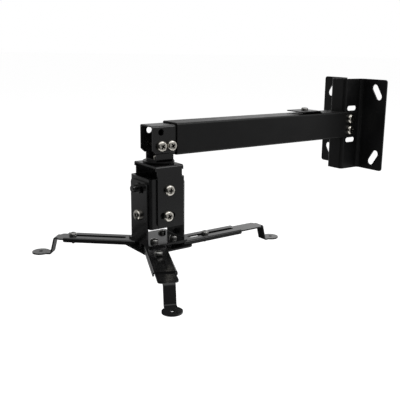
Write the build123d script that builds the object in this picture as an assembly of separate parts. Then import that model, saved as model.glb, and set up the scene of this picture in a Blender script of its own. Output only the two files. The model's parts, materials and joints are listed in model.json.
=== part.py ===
from build123d import *
import os

# Projector mount for a wall or ceiling: a folded plate carries a telescopic tube,
# whose end holds a swivelling and tilting head with three adjustable arms.
# The frame has +X along the tube towards the wall, +Z up and the origin at the
# centre of the plate's back face. Lengths are in millimetres, angles in degrees.

# Wall plate
PLATE_WIDTH = 110.0
PLATE_HEIGHT = 121.5
PLATE_THICKNESS = 2.0
PLATE_CORNER = 3.5
HAT_DEPTH = 34.5
HAT_WEB_BEND = 4.5
HAT_FOOT_BEND = 7.0
WALL_SLOT_SIDE_INSET = 15.2
WALL_SLOT_END_INSET = 16.85
WALL_SLOT_WIDTH = 9.6
WALL_SLOT_TRAVEL = 13.0
WALL_SLOT_ANGLE = 57.0
SIDE_SLOT_LENGTH = 18.5
SIDE_SLOT_WIDTH = 6.5
SIDE_SLOT_RISE = 21.4

# Telescopic tubes
TUBE_HEIGHT = 35.0
TUBE_WIDTH = 30.0
TUBE_WALL = 1.5
TUBE_CORNER = 2.6
TUBE_REACH = 300.5
EAR_SETBACK = 9.0
SLIDE_CLEARANCE = 0.5
INNER_TUBE_OUT = 30.0
INNER_TUBE_START = 46.0
TUBE_TOE = 4.5

# M6 bolts of the plate, the tube end and the head
BOLT_RADIUS = 3.0
BOLT_HEAD_RADIUS = 6.0
BOLT_HEAD_HEIGHT = 4.2
NUT_FLATS = 10.0
NUT_HEIGHT = 5.0
BOLT_CLEARANCE = 0.3
PIVOT_FIT = 0.06
THREAD_FIT = 0.02
THREAD_TAIL = 1.5

# Shares of a fastener's own radius, height or width across flats
HEAD_RIM_SHARE = 0.35
HEAD_CROWN_SHARE = 0.45
TIP_SHARE = 0.2
NUT_TURNED_SHARE = 0.56
NUT_CHAMFER_SHARE = 0.04

# Bolts at the wall end
EAR_BOLT_X = -23.6
EAR_BOLT_RISE = 7.5

# Clip on top of the tube
CLIP_LENGTH = 37.0
CLIP_WALL_END = -77.0
CLIP_LIFT = 2.2
CLIP_THICKNESS = 1.2
CLIP_FLAT_END = 4.5
CLIP_FOOT_LENGTH = 2.5
CLIP_BEND = 1.0
CLIP_CORNER = 2.0
CLIP_EDGE = 0.5
CLIP_SCREW_BACK = 18.5

# Locking screws on the far side of the tube
LOCK_FIRST_BACK = 16.0
LOCK_SPACING = 26.0
LOCK_NUT_HEIGHT = 6.0
LOCK_HEAD_OUT = 7.0

# Knuckle at the end of the inner tube
TOWER_OUT = 14.9
KNUCKLE_BOLT_INSET = 4.4
KNUCKLE_BOLT_SPACING = 12.6
KNUCKLE_BOLT_DROP = 6.6
SPARE_HOLE_RISE = 8.5
SPARE_HOLE_RADIUS = 3.6
KNUCKLE_LENGTH = 21.4
KNUCKLE_OFFSET = 1.4
KNUCKLE_TOP = 1.5
KNUCKLE_FLOOR = -23.6
KNUCKLE_THICKNESS = 2.0
KNUCKLE_GAP = 0.1
KNUCKLE_BEND = 1.3
KNUCKLE_CORNER = 3.0

# Swivel
DISC_RADIUS = 17.5
DISC_THICKNESS = 2.4
WASHER_RADIUS = 11.0
WASHER_THICKNESS = 0.5
RING_CHAMFER_SHARE = 0.17

# Yoke
YOKE_TOP_LENGTH = 34.0
YOKE_WIDTH = 47.2
YOKE_PLATE_LENGTH = 30.6
YOKE_BOTTOM = -93.8
YOKE_THICKNESS = 2.0
YOKE_BEND = 2.2
YOKE_CORNER = 5.0
YOKE_SHOULDER = 5.0

# Tilting box inside the yoke, whose pivots stand a little ahead of the swivel
HEAD_OFFSET = -1.3
PITCH_PIVOT_Z = -53.1
PITCH_CLAMP_RADIUS = 28.6
PITCH_CLAMP_LEAN = 3.5
PITCH_SWING = 12.0
BOX_TOP = -40.0
BOX_BOTTOM = -95.2
BOX_THICKNESS = 2.0
BOX_BEND = 3.0
PLATE_GAP = 0.2

# Lower bracket around the tilting box
ROLL_PIVOT_Z = -82.0
ROLL_CLAMP_RADIUS = 30.0
ROLL_SWING = 15.0
BRACKET_LENGTH = 48.6
BRACKET_PLATE_WIDTH = 33.8
BRACKET_TOP = -44.0
BRACKET_CORNER = 4.0
BRACKET_BEND = 2.6
BRACKET_THICKNESS = 2.0
CLAMP_STANDOUT = 8.5
CLAMP_STEM_RADIUS = 4.0
CLAMP_STEM_CHAMFER = 0.8
CLAMP_COLLAR = 1.6
SLOT_SLACK = 0.4

# Hub floor and arm plate
HUB_FLOOR = -112.0
HUB_WIDTH = 50.0
HUB_CORNER = 3.0
HUB_BOLT_X = 12.4
HUB_BOLT_Y = 12.2
ARM_PLATE_LENGTH = 61.0
ARM_PLATE_WIDTH = 56.0
ARM_PLATE_THICKNESS = 2.0
ARM_PLATE_CORNER = 7.0

# M5 screws of the hub
SCREW_RADIUS = 2.5
SCREW_HEAD_RADIUS = 4.5
SCREW_HEAD_HEIGHT = 3.6
SCREW_NUT_FLATS = 8.0
SCREW_NUT_HEIGHT = 4.0
SPACER_RADIUS = 5.0

# Arms
ARM_WIDTH = 24.5
ARM_HEIGHT = 4.8
ARM_THICKNESS = 1.5
ARM_BEND = 2.1
ARM_REACH = 88.5
ARM_ROOT_RADIUS = 11.6
ARM_FLANGE_START = 7.0
ARM_SLOT_WIDTH = 6.5
ARM_SLOT_START = 19.5
ARM_SLOT_END_MARGIN = 5.0
ARM_END_CORNER = 1.5

# Foot strips
STRIP_GAP = 0.05
STRIP_THICKNESS = 1.6
STRIP_BEND = 3.0
STRIP_TAIL = 6.0
NECK_WIDTH = 12.0
NECK_LEAN = 4.8
SHOULDER_MARGIN = 4.0
SHOULDER_CORNER = 4.0
FOOT_DROP = 19.1
FOOT_SETOUT = 18.3
FOOT_RADIUS = 9.75
FOOT_HOLE_RADIUS = 2.2
CLAMP_SCREW_RADIUS = 2.0
CLAMP_HEAD_RADIUS = 4.4
CLAMP_HEAD_HEIGHT = 3.4
CLAMP_SCREW_TAIL = 4.7

# Settings of the arms: heading, distance of the foot from the hub screw, and
# distance of the clamp screw back from the foot
FRONT_HEADING = -113.9
FRONT_FOOT_OUT = 134.0
FRONT_SCREW_BACK = 97.5
LEFT_HEADING = 138.0
LEFT_FOOT_OUT = 119.1
LEFT_SCREW_BACK = 38.4
RIGHT_HEADING = -0.5
RIGHT_FOOT_OUT = 144.7
RIGHT_SCREW_BACK = 101.6

# Each arm: side of its hub screw in X and in Y, and its setting
ARMS = {
    "front": (-1, -1, FRONT_HEADING, FRONT_FOOT_OUT, FRONT_SCREW_BACK),
    "left": (-1, 1, LEFT_HEADING, LEFT_FOOT_OUT, LEFT_SCREW_BACK),
    "right": (1, -1, RIGHT_HEADING, RIGHT_FOOT_OUT, RIGHT_SCREW_BACK),
}

# Derived places, heights and widths
TOWER_X = -TUBE_REACH - TOWER_OUT
INNER_HEIGHT = TUBE_HEIGHT - 2 * (TUBE_WALL + SLIDE_CLEARANCE)
INNER_WIDTH = TUBE_WIDTH - 2 * (TUBE_WALL + SLIDE_CLEARANCE)
HAT_WIDTH = TUBE_WIDTH - 2 * (TUBE_WALL + BOLT_CLEARANCE)
DISC_TOP = KNUCKLE_FLOOR
WASHER_TOP = DISC_TOP - DISC_THICKNESS
YOKE_TOP = WASHER_TOP - WASHER_THICKNESS
BOX_WIDTH = YOKE_WIDTH - 2 * (YOKE_THICKNESS + PLATE_GAP)
BOX_LENGTH = BRACKET_LENGTH - 2 * (BRACKET_THICKNESS + PLATE_GAP)
ARM_TOP = HUB_FLOOR - BRACKET_THICKNESS
ARM_PLATE_TOP = ARM_TOP - ARM_HEIGHT
STRIP_TOP = ARM_TOP - ARM_THICKNESS
CUT = 2 * PLATE_HEIGHT
SHEET_CUT = TUBE_HEIGHT / 2

SHEET_ACROSS_Z = Plane.XY
SHEET_ACROSS_Y = Plane.XZ
SHEET_ACROSS_X = Plane.YZ


def sheet(plane, points, bend, thickness, width):
    """Folded sheet: a bent line on the plane, thickened and drawn out both ways."""
    line = FilletPolyline(*points, radius=bend)
    return extrude(plane * trace(line, thickness), width / 2, both=True)


def drilled(plane, centres, radius):
    """Round cutters that pass right through the part at each centre."""
    circles = Sketch() + [Pos(x, y) * Circle(radius) for x, y in centres]
    return extrude(plane * circles, CUT, both=True)


def arc_slot(plane, centre, radius, direction, half_angle, width):
    """Cutter for a slot that follows an arc about a pivot."""
    arc = CenterArc(centre, radius, direction - half_angle, 2 * half_angle)
    return extrude(plane * SlotArc(arc, width), CUT / 4, both=True)


def pan_head(radius, height):
    """Domed head on the Z axis with its flat underside at zero."""
    rim = height * HEAD_RIM_SHARE
    crown = radius * HEAD_CROWN_SHARE
    outline = Polyline((0, height), (0, 0), (radius, 0), (radius, rim))
    dome = Spline((radius, rim), (crown, height), tangents=((0, 1), (-1, 0)))
    top = Line((crown, height), (0, height))
    return revolve(Plane.XZ * make_face(outline + dome + top), Axis.Z)


def bolt(radius, length, head_radius, head_height):
    """Pan-head bolt: head above zero, shank below it."""
    shank = Pos(0, 0, -length / 2) * Cylinder(radius, length)
    tip = chamfer(shank.edges().sort_by(Axis.Z)[0], radius * TIP_SHARE)
    return pan_head(head_radius, head_height) + tip


def nut(radius, flats, height):
    """Hexagon nut on the Z axis, standing on zero, with its corners turned off."""
    blank = extrude(RegularPolygon(flats / 2, 6, major_radius=False), height)
    turned = Pos(0, 0, height / 2) * Cylinder(flats * NUT_TURNED_SHARE, height)
    turned = chamfer(turned.edges().filter_by(GeomType.CIRCLE), flats * NUT_CHAMFER_SHARE)
    bore = Pos(0, 0, height / 2) * Cylinder(radius + THREAD_FIT, height)
    return (blank & turned) - bore


def facing(point, direction):
    """Place a Z-axis piece at a point with its head towards a direction."""
    return Plane(origin=point, z_dir=direction).location


def wall_plate():
    half_hat = HAT_WIDTH / 2 - PLATE_THICKNESS / 2
    back = -PLATE_THICKNESS / 2
    front = -HAT_DEPTH + PLATE_THICKNESS / 2
    edge = PLATE_WIDTH / 2
    line = [
        (back, -edge),
        (back, -half_hat),
        (front, -half_hat),
        (front, half_hat),
        (back, half_hat),
        (back, edge),
    ]
    foot = HAT_FOOT_BEND - PLATE_THICKNESS / 2
    web = HAT_WEB_BEND - PLATE_THICKNESS / 2
    plate = sheet(SHEET_ACROSS_Z, line, [foot, web, web, foot], PLATE_THICKNESS, PLATE_HEIGHT)
    corners = plate.edges().filter_by(Axis.X).group_by(Axis.Y)
    plate = fillet(corners[0] + corners[-1], PLATE_CORNER)
    slot_y = PLATE_WIDTH / 2 - WALL_SLOT_SIDE_INSET
    slot_z = PLATE_HEIGHT / 2 - WALL_SLOT_END_INSET
    for side in (-1, 1):
        for level in (-1, 1):
            tilt = -side * level * WALL_SLOT_ANGLE
            slot = Rot(0, 0, tilt) * SlotCenterToCenter(WALL_SLOT_TRAVEL, WALL_SLOT_WIDTH)
            spot = Pos(side * slot_y, level * slot_z)
            plate -= extrude(SHEET_ACROSS_X * (spot * slot), HAT_DEPTH / 4, both=True)
    centre = -(HAT_DEPTH - HAT_WEB_BEND + HAT_FOOT_BEND) / 2 - PLATE_THICKNESS / 4
    for level in (-1, 1):
        slot = Pos(centre, level * SIDE_SLOT_RISE) * SlotOverall(SIDE_SLOT_LENGTH, SIDE_SLOT_WIDTH)
        plate -= extrude(SHEET_ACROSS_Y * slot, HAT_WIDTH, both=True)
    plate -= drilled(SHEET_ACROSS_Y, ear_bolt_centres(), BOLT_RADIUS + BOLT_CLEARANCE)
    return plate


def ear_bolt_centres():
    return [(EAR_BOLT_X, -EAR_BOLT_RISE), (EAR_BOLT_X, EAR_BOLT_RISE)]


def box_tube(height, width, wall, corner, start, end):
    """Rectangular tube along X between two distances from the wall."""
    outer = RectangleRounded(width, height, corner)
    inner = RectangleRounded(width - 2 * wall, height - 2 * wall, corner - wall)
    tube = extrude(SHEET_ACROSS_X * (outer - inner), end - start)
    return Pos(-end, 0, 0) * tube


def lock_positions():
    first = -TUBE_REACH + LOCK_FIRST_BACK
    return [first, first + LOCK_SPACING]


def clip_screw_x():
    return CLIP_WALL_END - CLIP_SCREW_BACK


def outer_tube():
    tube = box_tube(TUBE_HEIGHT, TUBE_WIDTH, TUBE_WALL, TUBE_CORNER, EAR_SETBACK, TUBE_REACH)
    mouth_width = TUBE_WIDTH - 2 * TUBE_WALL
    mouth = Box(HAT_DEPTH, mouth_width, 2 * TUBE_HEIGHT, align=(Align.MIN, Align.CENTER, Align.CENTER))
    tube -= Pos(-HAT_DEPTH, 0, 0) * mouth
    tube -= drilled(SHEET_ACROSS_Y, ear_bolt_centres(), BOLT_RADIUS + BOLT_CLEARANCE)
    far_hole = Cylinder(BOLT_RADIUS + BOLT_CLEARANCE, SHEET_CUT)
    for x in lock_positions():
        tube -= facing((x, TUBE_WIDTH / 2, 0), (0, 1, 0)) * far_hole
    above = Cylinder(CLAMP_SCREW_RADIUS + PIVOT_FIT, TUBE_HEIGHT / 2)
    tube -= Pos(clip_screw_x(), 0, TUBE_HEIGHT / 2) * above
    return tube


def ear_bolts():
    length = TUBE_WIDTH + NUT_HEIGHT + THREAD_TAIL
    piece = bolt(BOLT_RADIUS, length, BOLT_HEAD_RADIUS, BOLT_HEAD_HEIGHT)
    return [facing((x, -TUBE_WIDTH / 2, z), (0, -1, 0)) * piece for x, z in ear_bolt_centres()]


def ear_nuts():
    piece = nut(BOLT_RADIUS, NUT_FLATS, NUT_HEIGHT)
    return [facing((x, TUBE_WIDTH / 2, z), (0, 1, 0)) * piece for x, z in ear_bolt_centres()]


def tube_clip():
    rest = TUBE_HEIGHT / 2 + CLIP_THICKNESS / 2
    lifted = rest + CLIP_LIFT
    line = [
        (CLIP_WALL_END - CLIP_LENGTH, lifted),
        (CLIP_WALL_END - CLIP_FLAT_END, lifted),
        (CLIP_WALL_END - CLIP_FOOT_LENGTH, rest),
        (CLIP_WALL_END, rest),
    ]
    leaf = sheet(SHEET_ACROSS_Y, line, CLIP_BEND, CLIP_THICKNESS, TUBE_WIDTH - 2 * CLIP_EDGE)
    corners = leaf.edges().filter_by(Axis.Z).group_by(Axis.X)[0]
    leaf = fillet(corners, CLIP_CORNER)
    hole = Cylinder(CLAMP_SCREW_RADIUS + PIVOT_FIT, SHEET_CUT)
    return leaf - Pos(clip_screw_x(), 0, lifted) * hole


def clip_screw():
    seat = TUBE_HEIGHT / 2 + CLIP_LIFT + CLIP_THICKNESS
    length = CLIP_LIFT + CLIP_THICKNESS + TUBE_WALL
    piece = bolt(CLAMP_SCREW_RADIUS, length, SCREW_HEAD_RADIUS, SCREW_HEAD_HEIGHT)
    return Pos(clip_screw_x(), 0, seat) * piece


def lock_nuts():
    piece = nut(BOLT_RADIUS, NUT_FLATS, LOCK_NUT_HEIGHT)
    return [facing((x, TUBE_WIDTH / 2, 0), (0, 1, 0)) * piece for x in lock_positions()]


def lock_screws():
    """Hexagon-head screws whose tips bear on the inner tube."""
    head_seat = TUBE_WIDTH / 2 + LOCK_NUT_HEIGHT + LOCK_HEAD_OUT
    length = head_seat - INNER_WIDTH / 2
    shank = Pos(0, 0, -length / 2) * Cylinder(BOLT_RADIUS, length)
    head = extrude(RegularPolygon(NUT_FLATS / 2, 6, major_radius=False), BOLT_HEAD_HEIGHT)
    piece = head + shank
    return [facing((x, head_seat, 0), (0, 1, 0)) * piece for x in lock_positions()]


def knuckle_bolt_centres():
    outer = TOWER_X - KNUCKLE_BOLT_INSET
    return [(outer, -KNUCKLE_BOLT_DROP), (outer + KNUCKLE_BOLT_SPACING, -KNUCKLE_BOLT_DROP)]


def inner_tube():
    end = -TOWER_X + INNER_TUBE_OUT / 2
    tube = box_tube(INNER_HEIGHT, INNER_WIDTH, TUBE_WALL, TUBE_CORNER, INNER_TUBE_START, end)
    notch = Box(
        end + TOWER_X + KNUCKLE_LENGTH / 2 + KNUCKLE_OFFSET + KNUCKLE_THICKNESS,
        INNER_WIDTH - 2 * TUBE_WALL,
        INNER_HEIGHT / 2,
        align=(Align.MIN, Align.CENTER, Align.CENTER),
    )
    tube -= Pos(-end, 0, -INNER_HEIGHT / 2) * notch
    low = -INNER_HEIGHT / 2
    toe = make_face(Polyline((-end, low), (TUBE_TOE - end, low), (-end, low + TUBE_TOE), close=True))
    tube -= extrude(SHEET_ACROSS_Y * toe, INNER_WIDTH, both=True)
    tube -= drilled(SHEET_ACROSS_Y, knuckle_bolt_centres(), BOLT_RADIUS + BOLT_CLEARANCE)
    spare = [(knuckle_bolt_centres()[0][0], SPARE_HOLE_RISE)]
    return tube - drilled(SHEET_ACROSS_Y, spare, SPARE_HOLE_RADIUS)


def knuckle_bracket():
    half = INNER_WIDTH / 2 - TUBE_WALL - KNUCKLE_GAP - KNUCKLE_THICKNESS / 2
    floor = KNUCKLE_FLOOR + KNUCKLE_THICKNESS / 2
    line = [(-half, KNUCKLE_TOP), (-half, floor), (half, floor), (half, KNUCKLE_TOP)]
    bracket = sheet(SHEET_ACROSS_X, line, KNUCKLE_BEND, KNUCKLE_THICKNESS, KNUCKLE_LENGTH)
    tops = bracket.edges().filter_by(Axis.Y).group_by(Axis.Z)[-1]
    bracket = fillet(tops, KNUCKLE_CORNER)
    bracket = Pos(TOWER_X + KNUCKLE_OFFSET, 0, 0) * bracket
    bracket -= drilled(SHEET_ACROSS_Y, knuckle_bolt_centres(), BOLT_RADIUS + BOLT_CLEARANCE)
    return bracket - Pos(TOWER_X, 0, KNUCKLE_FLOOR) * Cylinder(BOLT_RADIUS + BOLT_CLEARANCE, SHEET_CUT)


def knuckle_bolts():
    length = INNER_WIDTH + NUT_HEIGHT + THREAD_TAIL
    piece = bolt(BOLT_RADIUS, length, BOLT_HEAD_RADIUS, BOLT_HEAD_HEIGHT)
    return [facing((x, -INNER_WIDTH / 2, z), (0, -1, 0)) * piece for x, z in knuckle_bolt_centres()]


def knuckle_nuts():
    piece = nut(BOLT_RADIUS, NUT_FLATS, NUT_HEIGHT)
    return [facing((x, INNER_WIDTH / 2, z), (0, 1, 0)) * piece for x, z in knuckle_bolt_centres()]


def on_tower(piece):
    return Pos(TOWER_X, 0, 0) * piece


def on_head(piece):
    return Pos(TOWER_X + HEAD_OFFSET, 0, 0) * piece


def swivel_bolt():
    grip = KNUCKLE_THICKNESS + DISC_THICKNESS + WASHER_THICKNESS + YOKE_THICKNESS
    length = grip + NUT_HEIGHT + THREAD_TAIL
    piece = bolt(BOLT_RADIUS, length, BOLT_HEAD_RADIUS, BOLT_HEAD_HEIGHT)
    return on_tower(Pos(0, 0, KNUCKLE_FLOOR + KNUCKLE_THICKNESS) * piece)


def swivel_nut():
    piece = nut(BOLT_RADIUS, NUT_FLATS, NUT_HEIGHT)
    return on_tower(facing((0, 0, YOKE_TOP - YOKE_THICKNESS), (0, 0, -1)) * piece)


def ring(radius, bore, thickness, top):
    disc = Cylinder(radius, thickness) - Cylinder(bore, thickness)
    edges = disc.edges().filter_by(GeomType.CIRCLE).sort_by(SortBy.RADIUS)[-2:]
    rim = thickness * RING_CHAMFER_SHARE
    return on_tower(Pos(0, 0, top - thickness / 2) * chamfer(edges, rim))


def swivel_disc():
    return ring(DISC_RADIUS, BOLT_RADIUS + PIVOT_FIT, DISC_THICKNESS, DISC_TOP)


def swivel_washer():
    return ring(WASHER_RADIUS, BOLT_RADIUS + PIVOT_FIT, WASHER_THICKNESS, WASHER_TOP)


def pitch_bolt_places():
    """X ahead of the head's centre and height of the pivot and of the clamp."""
    lean = Vector(0, -PITCH_CLAMP_RADIUS).rotate(Axis.Z, -PITCH_CLAMP_LEAN)
    return [(0, PITCH_PIVOT_Z), (lean.X, PITCH_PIVOT_Z + lean.Y)]


def yoke():
    half = YOKE_WIDTH / 2 - YOKE_THICKNESS / 2
    top = YOKE_TOP - YOKE_THICKNESS / 2
    line = [(-half, YOKE_BOTTOM), (-half, top), (half, top), (half, YOKE_BOTTOM)]
    bend = YOKE_BEND - YOKE_THICKNESS / 2
    frame = sheet(SHEET_ACROSS_X, line, bend, YOKE_THICKNESS, YOKE_TOP_LENGTH)
    shoulder = YOKE_TOP - YOKE_SHOULDER
    height = shoulder - YOKE_BOTTOM
    lower = Pos(0, shoulder - height / 2) * Rectangle(YOKE_PLATE_LENGTH, height)
    lower = fillet(lower.vertices().sort_by(Axis.Y)[:2], YOKE_CORNER)
    upper = Pos(0, shoulder + YOKE_SHOULDER / 2) * Rectangle(YOKE_TOP_LENGTH, YOKE_SHOULDER)
    frame &= extrude(SHEET_ACROSS_Y * (lower + upper), CUT, both=True)
    pivot = (HEAD_OFFSET, PITCH_PIVOT_Z)
    frame -= drilled(SHEET_ACROSS_Y, [pivot], BOLT_RADIUS + PIVOT_FIT)
    travel = PITCH_SWING + SLOT_SLACK
    width = 2 * (BOLT_RADIUS + SLOT_SLACK)
    down = -90 - PITCH_CLAMP_LEAN
    frame -= arc_slot(SHEET_ACROSS_Y, pivot, PITCH_CLAMP_RADIUS, down, travel, width)
    return on_tower(frame - Pos(0, 0, YOKE_TOP) * Cylinder(BOLT_RADIUS + PIVOT_FIT, SHEET_CUT / 2))


def tilt_box():
    height = BOX_TOP - BOX_BOTTOM
    outer = RectangleRounded(BOX_LENGTH, BOX_WIDTH, BOX_BEND)
    inner_length = BOX_LENGTH - 2 * BOX_THICKNESS
    inner_width = BOX_WIDTH - 2 * BOX_THICKNESS
    inner = RectangleRounded(inner_length, inner_width, BOX_BEND - BOX_THICKNESS)
    box = Pos(0, 0, BOX_BOTTOM) * extrude(outer - inner, height)
    box -= drilled(SHEET_ACROSS_Y, pitch_bolt_places(), BOLT_RADIUS + PIVOT_FIT)
    roll = [(0, ROLL_PIVOT_Z), (0, ROLL_PIVOT_Z + ROLL_CLAMP_RADIUS)]
    return on_head(box - drilled(SHEET_ACROSS_X, roll, BOLT_RADIUS + PIVOT_FIT))


def pitch_bolts_at(x, height):
    grip = YOKE_THICKNESS + PLATE_GAP + BOX_THICKNESS
    piece = bolt(BOLT_RADIUS, grip + NUT_HEIGHT + THREAD_TAIL, BOLT_HEAD_RADIUS, BOLT_HEAD_HEIGHT)
    seat = YOKE_WIDTH / 2
    return [on_head(facing((x, side * seat, height), (0, side, 0)) * piece) for side in (-1, 1)]


def pitch_pivot_bolts():
    return pitch_bolts_at(*pitch_bolt_places()[0])


def pitch_clamp_bolts():
    return pitch_bolts_at(*pitch_bolt_places()[1])


def pitch_nuts():
    piece = nut(BOLT_RADIUS, NUT_FLATS, NUT_HEIGHT)
    seat = BOX_WIDTH / 2 - BOX_THICKNESS
    nuts = []
    for x, height in pitch_bolt_places():
        for side in (-1, 1):
            nuts.append(on_head(facing((x, side * seat, height), (0, -side, 0)) * piece))
    return nuts


def roll_pivot_bolts():
    grip = BRACKET_THICKNESS + PLATE_GAP + BOX_THICKNESS
    piece = bolt(BOLT_RADIUS, grip + NUT_HEIGHT + THREAD_TAIL, BOLT_HEAD_RADIUS, BOLT_HEAD_HEIGHT)
    seat = BRACKET_LENGTH / 2
    return [on_head(facing((side * seat, 0, ROLL_PIVOT_Z), (side, 0, 0)) * piece) for side in (-1, 1)]


def roll_clamp_bolts():
    """Long bolts with a turned knob, held against the bracket by a shoulder."""
    inward = BRACKET_THICKNESS + PLATE_GAP + BOX_THICKNESS + NUT_HEIGHT + THREAD_TAIL
    shank = Pos(0, 0, -inward / 2) * Cylinder(BOLT_RADIUS, inward)
    collar = Pos(0, 0, CLAMP_COLLAR / 2) * Cylinder(BOLT_HEAD_RADIUS, CLAMP_COLLAR)
    stem = Pos(0, 0, CLAMP_STANDOUT / 2) * Cylinder(CLAMP_STEM_RADIUS, CLAMP_STANDOUT)
    stem = chamfer(stem.edges().sort_by(Axis.Z)[-1], CLAMP_STEM_CHAMFER)
    piece = shank + collar + stem
    height = ROLL_PIVOT_Z + ROLL_CLAMP_RADIUS
    seat = BRACKET_LENGTH / 2
    return [on_head(facing((side * seat, 0, height), (side, 0, 0)) * piece) for side in (-1, 1)]


def roll_nuts():
    piece = nut(BOLT_RADIUS, NUT_FLATS, NUT_HEIGHT)
    seat = BOX_LENGTH / 2 - BOX_THICKNESS
    nuts = []
    for height in (ROLL_PIVOT_Z, ROLL_PIVOT_Z + ROLL_CLAMP_RADIUS):
        for side in (-1, 1):
            nuts.append(on_head(facing((side * seat, 0, height), (-side, 0, 0)) * piece))
    return nuts


def hub_bolt_centre(side_x, side_y):
    return (side_x * HUB_BOLT_X, side_y * HUB_BOLT_Y)


def hub_bolt_centres():
    return [hub_bolt_centre(x, y) for x in (-1, 1) for y in (-1, 1)]


def lower_bracket():
    half = BRACKET_LENGTH / 2 - BRACKET_THICKNESS / 2
    floor = HUB_FLOOR - BRACKET_THICKNESS / 2
    line = [(-half, BRACKET_TOP), (-half, floor), (half, floor), (half, BRACKET_TOP)]
    bend = BRACKET_BEND - BRACKET_THICKNESS / 2
    bracket = sheet(SHEET_ACROSS_Y, line, bend, BRACKET_THICKNESS, BRACKET_PLATE_WIDTH)
    tops = bracket.edges().filter_by(Axis.X).group_by(Axis.Z)[-1]
    bracket = fillet(tops, BRACKET_CORNER)
    wings = RectangleRounded(BRACKET_LENGTH, HUB_WIDTH, HUB_CORNER)
    bracket += Pos(0, 0, HUB_FLOOR - BRACKET_THICKNESS) * extrude(wings, BRACKET_THICKNESS)
    bracket -= drilled(SHEET_ACROSS_X, [(0, ROLL_PIVOT_Z)], BOLT_RADIUS + PIVOT_FIT)
    travel = ROLL_SWING + SLOT_SLACK
    width = 2 * (BOLT_RADIUS + SLOT_SLACK)
    bracket -= arc_slot(SHEET_ACROSS_X, (0, ROLL_PIVOT_Z), ROLL_CLAMP_RADIUS, 90, travel, width)
    return on_head(bracket - drilled(SHEET_ACROSS_Z, hub_bolt_centres(), SCREW_RADIUS + PIVOT_FIT))


def arm_plate():
    outline = RectangleRounded(ARM_PLATE_LENGTH, ARM_PLATE_WIDTH, ARM_PLATE_CORNER)
    plate = extrude(outline, ARM_PLATE_THICKNESS)
    plate = Pos(0, 0, ARM_PLATE_TOP - ARM_PLATE_THICKNESS) * plate
    return on_head(plate - drilled(SHEET_ACROSS_Z, hub_bolt_centres(), SCREW_RADIUS + PIVOT_FIT))


def hub_screw(side_x, side_y):
    length = HUB_FLOOR - ARM_PLATE_TOP + ARM_PLATE_THICKNESS + SCREW_NUT_HEIGHT + THREAD_TAIL
    piece = bolt(SCREW_RADIUS, length, SCREW_HEAD_RADIUS, SCREW_HEAD_HEIGHT)
    x, y = hub_bolt_centre(side_x, side_y)
    return on_head(Pos(x, y, HUB_FLOOR) * piece)


def hub_nut(side_x, side_y):
    piece = nut(SCREW_RADIUS, SCREW_NUT_FLATS, SCREW_NUT_HEIGHT)
    x, y = hub_bolt_centre(side_x, side_y)
    return on_head(facing((x, y, ARM_PLATE_TOP - ARM_PLATE_THICKNESS), (0, 0, -1)) * piece)


def arm_pivot_screws():
    return [hub_screw(side_x, side_y) for side_x, side_y, *_ in ARMS.values()]


def arm_pivot_nuts():
    return [hub_nut(side_x, side_y) for side_x, side_y, *_ in ARMS.values()]


def hub_spacer():
    sleeve = Cylinder(SPACER_RADIUS, ARM_HEIGHT) - Cylinder(SCREW_RADIUS + PIVOT_FIT, ARM_HEIGHT)
    x, y = hub_bolt_centre(1, 1)
    return on_head(Pos(x, y, ARM_TOP - ARM_HEIGHT / 2) * sleeve)


def along_arm(name, piece):
    """Turn a piece that was made along +X from its hub screw to its arm's heading."""
    side_x, side_y, heading = ARMS[name][:3]
    x, y = hub_bolt_centre(side_x, side_y)
    return on_head(Pos(x, y, 0) * Rot(0, 0, heading) * piece)


def arm_channel(name):
    half = ARM_WIDTH / 2 - ARM_THICKNESS / 2
    top = ARM_TOP - ARM_THICKNESS / 2
    bottom = ARM_TOP - ARM_HEIGHT
    line = [(-half, bottom), (-half, top), (half, top), (half, bottom)]
    bend = ARM_BEND - ARM_THICKNESS / 2
    length = ARM_REACH - ARM_FLANGE_START
    channel = sheet(SHEET_ACROSS_X, line, bend, ARM_THICKNESS, length)
    channel = Pos(ARM_FLANGE_START + length / 2, 0, 0) * channel
    toes = channel.edges().filter_by(Axis.Y).group_by(Axis.X)[-1].group_by(Axis.Z)[0]
    channel = fillet(toes, ARM_END_CORNER)
    neck = Pos(ARM_FLANGE_START / 2, 0) * Rectangle(ARM_FLANGE_START, 2 * ARM_ROOT_RADIUS)
    root = Circle(ARM_ROOT_RADIUS) + neck
    channel += Pos(0, 0, ARM_TOP - ARM_THICKNESS) * extrude(root, ARM_THICKNESS)
    slot_length = ARM_REACH - ARM_SLOT_START - ARM_SLOT_END_MARGIN
    slot = Pos(ARM_SLOT_START + slot_length / 2, 0) * SlotOverall(slot_length, ARM_SLOT_WIDTH)
    channel -= extrude(slot, CUT, both=True)
    channel -= Pos(0, 0, ARM_TOP) * Cylinder(SCREW_RADIUS + PIVOT_FIT, ARM_HEIGHT)
    return along_arm(name, channel)


def strip_outline(foot, tail):
    """Plan of a foot strip: wide tail, narrow neck and round foot."""
    width = ARM_WIDTH - 2 * (ARM_BEND + STRIP_GAP)
    shoulder = foot - FOOT_SETOUT - SHOULDER_MARGIN
    wide = Pos((tail + shoulder) / 2, 0) * RectangleRounded(shoulder - tail, width, SHOULDER_CORNER)
    neck = Pos((shoulder + foot) / 2 - SHOULDER_CORNER / 2, 0)
    neck *= Rectangle(foot - shoulder + SHOULDER_CORNER, NECK_WIDTH)
    return wide + neck + Pos(foot, 0) * Circle(FOOT_RADIUS)


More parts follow.
